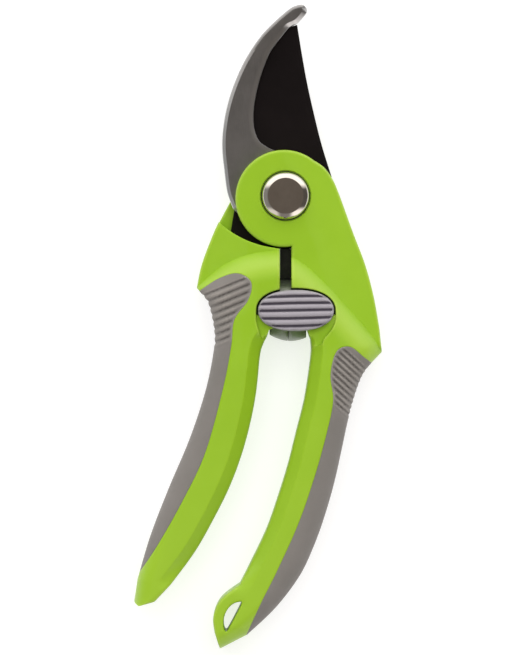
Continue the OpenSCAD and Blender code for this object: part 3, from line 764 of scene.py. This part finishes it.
# ---------------------------------------------------------------- thumb button
def button_piece():
    outline = BUTTON_LINE
    sheet = Sheet(outline, 0.9)
    sheet.ring(closed(outline), steps_of(1.3, 6))
    centres = np.array([-31.45, -33.6, -35.85, -38.35, -40.75])

    def curve(p):
        """The ridges are slightly arched, and rise a little to the right."""
        u = (p[:, 0] - BUTTON_X) / (BUTTON_W / 2)
        return p[:, 1] - 0.25 * u + 0.075 * u * u * (p[:, 1] - BUTTON_Y)

    grid_x = np.arange(BUTTON_X - 12, BUTTON_X + 12, 0.55)
    for c in centres:
        for dy in (-0.75, -0.5, -0.36, -0.24, -0.12, 0, 0.12, 0.24, 0.36, 0.5, 0.75):
            row = np.column_stack([grid_x, np.full(len(grid_x), c + dy)])
            for _ in range(4):
                row[:, 1] += c + dy - curve(row)
            sheet.free.append(row)
    sheet.build()

    def top(p):
        v = curve(p)
        d = away(p, closed(outline))
        gap = np.abs(v[:, None] - centres).min(1)
        groove = np.clip(1 - (gap / 0.52) ** 2, 0, 1) ** 0.7
        crown = 0.35 * (((p[:, 0] - BUTTON_X) / 12) ** 2 + ((p[:, 1] - BUTTON_Y) / 7) ** 2)
        z = BUTTON_HIGH - crown - roll_off(d, 1.3, 1.2)
        ridge = 0.25 * smooth(gap, 0.4, 1.1)
        return z - 0.9 * groove * smooth(d, 0.3, 0.9) + ridge - 0.25

    def low(p):
        return np.full(len(p), BUTTON_LOW)

    def marks(p):
        gap = np.abs(curve(p)[:, None] - centres).min(1)
        return {"groove": gap, "edge": away(p, closed(outline))}

    return solid("thumb_button", sheet, np.ones(len(sheet.f), bool), top, low, 50, marks)


button = button_piece()


# ---------------------------------------------------------------- materials
def linear(r, g, b):
    def one(c):
        c /= 255
        return c / 12.92 if c <= 0.04045 else ((c + 0.055) / 1.055) ** 2.4
    return (one(r), one(g), one(b), 1.0)


class Paint:
    """A procedural material, put together a node at a time."""

    def __init__(self, name, **sockets):
        self.m = bpy.data.materials.new(name)
        self.m.use_nodes = True
        self.t = self.m.node_tree
        self.p = self.t.nodes["Principled BSDF"]
        for key, value in sockets.items():
            self.p.inputs[key.replace("_", " ")].default_value = value
        self.at = self.t.nodes.new("ShaderNodeTexCoord").outputs["Object"]
        self.last_bump = None

    def node(self, kind, **props):
        n = self.t.nodes.new("ShaderNode" + kind)
        for key, value in props.items():
            setattr(n, key, value)
        return n

    def link(self, a, b):
        self.t.links.new(a, b)

    def noise(self, scale, detail=3.0, rough=0.55, stretch=None):
        """Noise with features of 1/scale millimetres."""
        n = self.node("TexNoise")
        n.inputs["Scale"].default_value = scale * 1000
        n.inputs["Detail"].default_value = detail
        n.inputs["Roughness"].default_value = rough
        where = self.at
        if stretch:
            m = self.node("Mapping")
            m.inputs["Rotation"].default_value = stretch[0]
            m.inputs["Scale"].default_value = stretch[1]
            self.link(where, m.inputs["Vector"])
            where = m.outputs["Vector"]
        self.link(where, n.inputs["Vector"])
        return n.outputs["Fac"]

    def ramp(self, source, *stops, ease=False):
        r = self.node("ValToRGB")
        r.color_ramp.interpolation = "EASE" if ease else "LINEAR"
        els = r.color_ramp.elements
        while len(els) < len(stops):
            els.new(0.5)
        for e, (pos, value) in zip(els, stops):
            e.position = pos
            e.color = value if isinstance(value, tuple) else (value, value, value, 1)
        self.link(source, r.inputs["Fac"])
        return r.outputs["Color"]

    def mix(self, factor, a, b, kind="MIX"):
        m = self.node("Mix", data_type="RGBA", blend_type=kind)
        for socket, value in ((m.inputs[0], factor), (m.inputs[6], a), (m.inputs[7], b)):
            if isinstance(value, bpy.types.NodeSocket):
                self.link(value, socket)
            else:
                socket.default_value = value
        return m.outputs[2]

    def scale(self, source, lo, hi, out_lo, out_hi):
        m = self.node("MapRange")
        m.inputs["From Min"].default_value, m.inputs["From Max"].default_value = lo, hi
        m.inputs["To Min"].default_value, m.inputs["To Max"].default_value = out_lo, out_hi
        self.link(source, m.inputs["Value"])
        return m.outputs["Result"]

    def attribute(self, name):
        return self.node("Attribute", attribute_name=name).outputs["Fac"]

    def edges(self):
        """How sharply the surface turns: above a half on edges, below in corners."""
        return self.node("NewGeometry").outputs["Pointiness"]

    def colour(self, source):
        self.link(source, self.p.inputs["Base Color"])

    def rough(self, source):
        self.link(source, self.p.inputs["Roughness"])

    def bump(self, source, depth, strength=1.0):
        b = self.node("Bump")
        b.inputs["Distance"].default_value = depth * 0.001
        b.inputs["Strength"].default_value = strength
        self.link(source, b.inputs["Height"])
        if self.last_bump:
            self.link(self.last_bump, b.inputs["Normal"])
        self.last_bump = b.outputs["Normal"]
        self.link(self.last_bump, self.p.inputs["Normal"])


def green_material():
    m = Paint("moulded_green", Roughness=0.4, IOR=1.49, Specular_IOR_Level=0.45)
    cloud = m.noise(0.05, 4, 0.6)
    base = m.ramp(cloud, (0.3, linear(143, 187, 29)), (0.7, linear(149, 192, 36)))
    place = m.node("SeparateXYZ")
    m.link(m.at, place.inputs[0])
    # the colour turns lighter towards the tail
    lighter_to_tail = m.scale(place.outputs["Y"], -0.055, -0.135, 0.0, 0.42)
    base = m.mix(lighter_to_tail, base, linear(166, 202, 62))
    # painted highlight: the slope from the flank up to the raised body turns pale yellow-green, standing in
    # for sheen
    base = m.mix(m.scale(m.attribute("slope"), 0, 1, 0, 0.38), base, linear(180, 208, 84))
    speck = m.ramp(m.noise(1.6, 2), (0.62, 0.0), (0.75, 0.22))
    base = m.mix(speck, base, linear(140, 182, 28))
    # sharp edges near the outline and recess turn pale yellow-green: part wear, part painted highlight
    edge_wear_and_highlight = m.ramp(m.edges(), (0.505, 0.0), (0.53, 0.3))
    edge_wear_and_highlight = m.mix(1.0, edge_wear_and_highlight, m.ramp(m.attribute("edge"), (0.5, 1.0), (0.9, 0.0)), "MULTIPLY")
    base = m.mix(edge_wear_and_highlight, base, linear(186, 212, 92))
    # painted shade: the deep gap round the button's upper half is coloured near-black green
    m.colour(m.mix(m.attribute("gap"), base, linear(30, 46, 14)))
    m.rough(m.scale(m.noise(0.35, 4), 0.3, 0.7, 0.34, 0.47))
    m.bump(m.noise(3.2, 2), 0.018, 0.6)
    m.bump(m.noise(0.12, 2), 0.12, 0.25)
    return m.m


def grip_material():
    m = Paint("soft_grip", Roughness=0.78, IOR=1.45, Sheen_Weight=0.12, Sheen_Roughness=0.5,
              Specular_IOR_Level=0.3)
    cloud = m.noise(0.06, 4, 0.6)
    base = m.ramp(cloud, (0.3, linear(123, 120, 116)), (0.7, linear(131, 127, 124)))
    # among the ribs, crests turn lighter, part wear and part painted highlight, and grooves darken as
    # painted shade
    tip = m.ramp(m.edges(), (0.49, 0.0), (0.51, 0.0), (0.54, 0.5))
    painted_groove_shade = m.ramp(m.edges(), (0.44, 0.55), (0.49, 0.0))
    among = m.attribute("ribbed")
    tip, painted_groove_shade = m.mix(1.0, tip, among, "MULTIPLY"), m.mix(1.0, painted_groove_shade, among, "MULTIPLY")
    base = m.mix(tip, base, linear(172, 166, 160))
    base = m.mix(painted_groove_shade, base, linear(84, 78, 74))
    m.colour(base)
    m.rough(m.scale(m.noise(0.5, 4), 0.3, 0.7, 0.68, 0.86))
    m.bump(m.noise(5.0, 3), 0.03, 0.7)
    m.bump(m.noise(1.1, 2), 0.03, 0.4)
    return m.m


def steel_material(name, tone, rough=0.34, grain=(0, 0, 0.3), bevel=None, metallic=1.0):
    """Ground or brushed steel: grain runs along one direction."""
    m = Paint(name, Metallic=metallic, Roughness=rough, Anisotropic=0.35)
    line = m.noise(0.9, 6, 0.65, stretch=(grain, (12, 0.5, 1)))
    cloud = m.noise(0.08, 4)
    a, b = (linear(*[max(0, min(255, c + d)) for c in tone]) for d in (-9, 9))
    base = m.mix(m.ramp(cloud, (0.35, 0.0), (0.65, 1.0)), a, b)
    base = m.mix(m.ramp(line, (0.42, 0.0), (0.6, 0.35)), base, linear(*[min(255, c + 20) for c in tone]))
    value = m.scale(line, 0.3, 0.7, rough - 0.05, rough + 0.08)
    if bevel:
        base, value = bevel(m, base, value)
    m.colour(base)
    m.rough(value)
    m.bump(line, 0.012, 0.5)
    return m.m


def hook_bevel(m, base, value):
    # the ground bevels are real; their lighter base colour, lighter near the pivot and dimmer towards the
    # tip, is a painted highlight
    near = m.ramp(m.scale(m.attribute("ground"), 0, 2.2, 0, 1), (0.44, 1.0), (0.54, 0.0))
    tip = m.ramp(m.scale(m.attribute("bright"), 0, 2.8, 0, 1), (0.44, 1.0), (0.54, 0.0))
    side = m.ramp(m.scale(m.attribute("inner"), 0, 2.8, 0, 1), (0.4, 0.6), (0.6, 0.0))
    both = m.mix(1.0, near, tip, "LIGHTEN")
    base = m.mix(side, base, linear(190, 190, 190))
    place = m.node("SeparateXYZ")
    m.link(m.at, place.inputs[0])
    towards_tip = m.scale(place.outputs["Y"], 0.028, 0.05, 0, 1)
    painted_bevel_highlight = m.mix(towards_tip, linear(210, 210, 210), linear(158, 158, 158))
    base = m.mix(both, base, m.mix(tip, painted_bevel_highlight, linear(190, 190, 190)))
    return base, m.scale(both, 0, 1, 0.42, 0.32)


def blade_material():
    """Black non-stick coating, ground back to bright steel along the cutting edge."""
    m = Paint("coated_black", Roughness=0.45, IOR=1.45, Specular_IOR_Level=0.25)
    cloud = m.noise(0.07, 4, 0.6)
    base = m.ramp(cloud, (0.3, linear(13, 9, 10)), (0.7, linear(20, 15, 16)))
    speck = m.ramp(m.noise(2.4, 2), (0.66, 0.0), (0.8, 0.5))
    base = m.mix(speck, base, linear(34, 29, 30))
    geo = m.node("NewGeometry")
    facing = m.node("SeparateXYZ")
    m.link(geo.outputs["Normal"], facing.inputs[0])
    behind = m.ramp(m.scale(facing.outputs["Z"], -1, 1, 0, 1), (0.3, 1.0), (0.42, 0.0))
    near = m.ramp(m.scale(m.attribute("ground"), 0, 8, 0, 1), (0.52, 1.0), (0.53, 0.0))
    ground = m.mix(1.0, near, behind, "MULTIPLY")
    line = m.noise(0.9, 6, 0.65, stretch=((0, 0, 1.1), (12, 0.5, 1)))
    steel = m.mix(m.ramp(line, (0.4, 0.0), (0.6, 1.0)), linear(150, 150, 152), linear(196, 197, 200))
    m.colour(m.mix(ground, base, steel))
    m.link(ground, m.p.inputs["Metallic"])
    m.rough(m.scale(m.noise(0.4, 3), 0.3, 0.7, 0.38, 0.5))
    m.bump(m.noise(4.0, 2), 0.012, 0.6)
    return m.m


def chrome_material():
    m = Paint("polished_chrome", Metallic=1.0, Roughness=0.09)
    cloud = m.noise(0.15, 4)
    m.colour(m.ramp(cloud, (0.3, linear(196, 190, 182)), (0.7, linear(212, 206, 198))))
    m.rough(m.scale(m.noise(0.6, 4), 0.3, 0.7, 0.06, 0.15))
    m.bump(m.noise(0.35, 2), 0.035, 0.3)
    return m.m


def rubber_material(name, tone, rough):
    m = Paint(name, Roughness=rough, IOR=1.5, Specular_IOR_Level=0.35)
    m.colour(m.ramp(m.noise(0.3, 4), (0.3, linear(*tone)), (0.7, linear(*[c + 8 for c in tone]))))
    m.rough(m.scale(m.noise(0.8, 3), 0.3, 0.7, rough - 0.06, rough + 0.08))
    m.bump(m.noise(4.0, 2), 0.02, 0.5)
    return m.m


def button_material():
    m = Paint("button_lilac_grey", Roughness=0.5, IOR=1.47, Specular_IOR_Level=0.4)
    cloud = m.noise(0.1, 4)
    base = m.ramp(cloud, (0.3, linear(142, 138, 147)), (0.7, linear(152, 148, 156)))
    # painted shade: the grooves between the ridges are darkened
    deep = m.ramp(m.scale(m.attribute("groove"), 0, 1, 0, 1), (0.18, 0.9), (0.5, 0.0), ease=True)
    base = m.mix(deep, base, linear(74, 68, 80))
    # ridge crests and edges turn pale lilac: part wear, part painted highlight
    edge_wear_and_highlight = m.ramp(m.edges(), (0.51, 0.0), (0.55, 0.4))
    m.colour(m.mix(edge_wear_and_highlight, base, linear(190, 186, 194)))
    m.rough(m.scale(m.noise(0.7, 3), 0.3, 0.7, 0.44, 0.58))
    m.bump(m.noise(3.5, 2), 0.02, 0.5)
    return m.m


green = green_material()
grip_grey = grip_material()
hook_steel = steel_material("satin_steel", (170, 171, 173), 0.46, (0, 0, 1.2), hook_bevel)
black = blade_material()
chrome = chrome_material()
plain = steel_material("plain_steel", (168, 166, 162), 0.3, (0, 0, 0.4))
spring_steel = steel_material("spring_steel", (128, 132, 124), 0.36, (0, 1.57, 0), metallic=0.75)
rubber = rubber_material("black_rubber", (28, 27, 27), 0.72)
nylon = rubber_material("black_nylon", (34, 33, 34), 0.5)
lilac = button_material()


def dress(obj, material):
    obj.data.materials.clear()
    obj.data.materials.append(material)


PIECES = (
    (hook, hook_steel, "hook_steel", "right_half", "hook_blade"),
    (blade, black, "blade_coating", "left_half", "cutting_blade"),
    (right_core, green, "green_plastic", "right_half", "right_handle"),
    (left_core, green, "green_plastic", "left_half", "left_handle"),
    (right_grip, grip_grey, "grey_grip", "right_half", "right_grip"),
    (left_grip, grip_grey, "grey_grip", "left_half", "left_grip"),
    (bolt, chrome, "chrome", "right_half", "pivot_bolt"),
    (nut, plain, "plain_steel", "right_half", "pivot_nut"),
    (button, lilac, "button_grey", "lock", "lock_button"),
)
for obj, material, slot, body, node in PIECES:
    dress(obj, material)
    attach(obj, body)
    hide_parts(node)

dress(spring, spring_steel)
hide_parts("volute_spring")
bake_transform(spring)

CAD_LOOKS = {
    "pivot_bush": plain, "bolt_washer": nylon, "back_washer": plain, "spring_washer": plain,
    "left_spring_cap": nylon, "right_spring_cap": nylon, "stop_bumper": rubber,
    "lock_slider": plain, "lock_pin": plain, "lock_screw": chrome,
}
for node, material in CAD_LOOKS.items():
    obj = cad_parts[node]
    dress(obj, material)
    mod = obj.modifiers.new("edges", "BEVEL")
    mod.width, mod.segments, mod.limit_method = 0.00015, 2, "ANGLE"
    mod.harden_normals = False

# ---------------------------------------------------------------- stage, light, camera
def stage_floor():
    half, z = 3000, -0.05
    floor = put("floor", [(-half, -half, z), (half, -half, z), (half, half, z), (-half, half, z)],
                [[0, 1, 2, 3]])
    m = Paint("floor_white", Roughness=0.9, Specular_IOR_Level=0.1, Emission_Strength=0.7)
    m.p.inputs["Emission Color"].default_value = (1, 1, 1, 1)
    m.colour(m.ramp(m.noise(0.004, 2), (0.3, linear(172, 172, 172)), (0.7, linear(177, 177, 177))))
    dress(floor, m.m)


def area_light(name, place, size, power, colour=(1, 1, 1), seen=True, aim=(-0.009, -0.041, 0.02)):
    data = bpy.data.lights.new(name, "AREA")
    data.shape, data.size, data.size_y = "RECTANGLE", size[0], size[1]
    data.energy, data.color = power, colour
    obj = bpy.data.objects.new(name, data)
    obj.location = place
    obj.rotation_euler = (Vector(aim) - Vector(place)).to_track_quat("-Z", "Y").to_euler()
    obj.visible_glossy = seen
    bpy.context.scene.collection.objects.link(obj)


def studio_world():
    """Dim overhead, a bright panel beyond the tips, and darker sides: what the bolt's dome shows."""
    world = bpy.data.worlds.new("studio")
    bpy.context.scene.world = world
    world.use_nodes = True
    tree = world.node_tree
    coords = tree.nodes.new("ShaderNodeTexCoord")
    split = tree.nodes.new("ShaderNodeSeparateXYZ")
    tree.links.new(coords.outputs["Generated"], split.inputs[0])

    def share(axis, lo, hi):
        n = tree.nodes.new("ShaderNodeMapRange")
        n.interpolation_type = "SMOOTHSTEP"
        n.inputs["From Min"].default_value, n.inputs["From Max"].default_value = lo, hi
        tree.links.new(split.outputs[axis], n.inputs["Value"])
        return n.outputs["Result"]

    def mix(factor, a, b):
        n = tree.nodes.new("ShaderNodeMix")
        n.data_type = "RGBA"
        tree.links.new(factor, n.inputs[0])
        for socket, value in ((n.inputs[6], a), (n.inputs[7], b)):
            if isinstance(value, tuple):
                socket.default_value = (*value, 1)
            else:
                tree.links.new(value, socket)
        return n.outputs[2]

    sky = mix(share("X", -0.35, -0.9), (0.12, 0.11, 0.1), (0.32, 0.32, 0.31))
    low = mix(share("X", 0.15, 0.4), (0.3, 0.28, 0.27), (1.6, 1.5, 1.45))
    low = mix(share("X", -0.2, -0.45), low, (1.1, 1.05, 1.0))
    sky = mix(share("Y", -0.45, -0.7), sky, low)
    sky = mix(share("Y", 0.3, 0.6), sky, (1.9, 1.82, 1.75))
    sky = mix(share("Z", 0.55, 0.75), sky, (0.17, 0.145, 0.125))
    tree.links.new(sky, tree.nodes["Background"].inputs["Color"])
    tree.nodes["Background"].inputs["Strength"].default_value = 1.0


stage_floor()
studio_world()
area_light("overhead", (0.0, 0.3, 1.6), (1.5, 1.5), 19.2, (1.0, 0.995, 0.985), seen=False)

VIEW_CENTRE, VIEW_HEIGHT, CAMERA_UP = (-0.0091, -0.0412), 0.2052, 1.5
camera_data = bpy.data.cameras.new("camera")
camera_data.sensor_fit = "VERTICAL"
camera_data.sensor_height = 24
camera_data.lens = 24 * (CAMERA_UP - 0.018) / VIEW_HEIGHT
camera_data.clip_start, camera_data.clip_end = 0.05, 20
camera = bpy.data.objects.new("camera", camera_data)
camera.location = (VIEW_CENTRE[0], VIEW_CENTRE[1], CAMERA_UP)
bpy.context.scene.collection.objects.link(camera)
bpy.context.scene.camera = camera
bpy.context.scene.view_settings.view_transform = "Standard"
